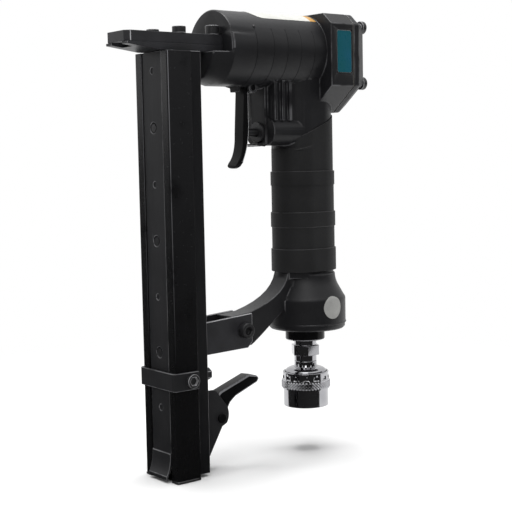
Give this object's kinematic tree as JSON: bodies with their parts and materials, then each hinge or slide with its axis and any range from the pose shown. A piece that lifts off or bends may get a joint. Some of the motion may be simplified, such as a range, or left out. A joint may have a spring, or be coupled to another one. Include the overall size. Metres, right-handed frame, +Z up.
{
  "type": "pneumatic upholstery stapler",
  "caption": "Air-driven upholstery stapler with a round barrel, rubber grip, trigger, long bottom-loading staple magazine on a bracket, and an air coupler under the handle.",
  "frame": {"origin": "middle of the bounding box at its base, on the tail of the magazine", "axes": "+Z up along the handle and the magazine, +X towards the head cap, so staples leave along -X; Y is across the tool"},
  "size_m": [0.1472, 0.046, 0.237],
  "materials": {
    "body_paint": "satin black paint on cast aluminium",
    "trigger_paint": "satin black paint",
    "magazine_paint": "semi-gloss black on sheet steel",
    "strip_steel": "blackened sheet steel",
    "nose_steel": "blackened tool steel",
    "black_steel": "black oxide on steel",
    "grip_rubber": "matt rubber",
    "seal_rubber": "matt rubber",
    "gasket": "matt fibre",
    "liner_metal": "turned",
    "bright_steel": "ground",
    "spring_steel": "drawn wire",
    "plated_steel": "bright zinc plate",
    "valve_plastic": "moulded"
  },
  "bodies": {
    "gun": {"gun_body": "body_paint", "cylinder_liner": "liner_metal", "liner_seals": "seal_rubber", "bumper": "seal_rubber", "head_gasket": "gasket", "head_cap": "body_paint", "cap_screws": "black_steel", "nose_plate": "nose_steel", "driver_guide": "nose_steel", "nose_screws": "black_steel", "head_valve_spring": "spring_steel", "trigger_pin": "bright_steel", "valve_body": "valve_plastic", "valve_spring": "spring_steel", "grip_sleeve": "grip_rubber", "end_cap": "body_paint", "inlet_collar": "trigger_paint", "air_nipple": "plated_steel", "coupler_body": "plated_steel", "coupler_clip": "spring_steel", "coupler_spring": "spring_steel", "fixed_magazine": "magazine_paint", "magazine_bracket": "nose_steel", "bracket_bolt": "black_steel", "bracket_nut": "black_steel", "latch_bracket": "magazine_paint", "latch_pin": "bright_steel", "latch_spring": "spring_steel", "stop_screw": "black_steel"},
    "driver": {"piston": "liner_metal", "piston_ring": "seal_rubber", "driver_blade": "bright_steel", "driver_pin": "bright_steel"},
    "head_valve": {"head_valve": "valve_plastic", "head_valve_seal": "seal_rubber"},
    "trigger": {"trigger": "trigger_paint"},
    "valve_stem": {"valve_stem": "black_steel"},
    "coupler_sleeve": {"coupler_sleeve": "plated_steel"},
    "slide": {"slide_cover": "magazine_paint", "slide_strip": "strip_steel", "strip_rivets": "black_steel", "staple_rail": "bright_steel", "tail_block": "magazine_paint", "strap_band": "strip_steel", "strap_screws": "black_steel", "pusher_spring": "spring_steel"},
    "pusher": {"pusher": "bright_steel"},
    "latch": {"latch_lever": "trigger_paint"}
  },
  "joints": [
    {"name": "driver_stroke", "type": "slide", "parent": "gun", "child": "driver", "axis": [-1, 0, 0], "range_m": [0, 0.038]},
    {"name": "head_valve_lift", "type": "slide", "parent": "gun", "child": "head_valve", "axis": [1, 0, 0], "range_m": [0, 0.0025], "stiffness_N_per_m": 900, "springref_m": -0.004, "deforming": ["head_valve_spring"]},
    {"name": "trigger_pull", "type": "hinge", "parent": "gun", "child": "trigger", "pos_m": [0.00445, 0, 0.1975], "axis": [0, -1, 0], "range_deg": [0, 7], "stiffness_Nm_per_rad": 0.35, "springref_deg": -2.86, "deforming": ["valve_spring"]},
    {"name": "valve_stem_push", "type": "slide", "parent": "gun", "child": "valve_stem", "axis": [1, 0, 0], "range_m": [0, 0.0031], "deforming": ["valve_spring"]},
    {"name": "latch_turn", "type": "hinge", "parent": "gun", "child": "latch", "pos_m": [-0.01975, 0, 0.027], "axis": [0, -1, 0], "range_deg": [0, 30], "stiffness_Nm_per_rad": 0.12, "springref_deg": -8.59, "deforming": ["latch_spring"]},
    {"name": "magazine_slide", "type": "slide", "parent": "gun", "child": "slide", "axis": [0, 0, -1], "range_m": [0, 0.11]},
    {"name": "pusher_feed", "type": "slide", "parent": "slide", "child": "pusher", "axis": [0, 0, -1], "range_m": [0, 0.15], "stiffness_N_per_m": 40, "springref_m": -0.02, "deforming": ["pusher_spring"]},
    {"name": "coupler_release", "type": "slide", "parent": "gun", "child": "coupler_sleeve", "axis": [0, 0, 1], "range_m": [0, 0.0025], "stiffness_N_per_m": 800, "springref_m": -0.002, "deforming": ["coupler_spring"]}
  ],
  "couplings": [
    {"joint": "valve_stem_push", "follows": "trigger_pull", "m_per_rad": 0.025}
  ]
}
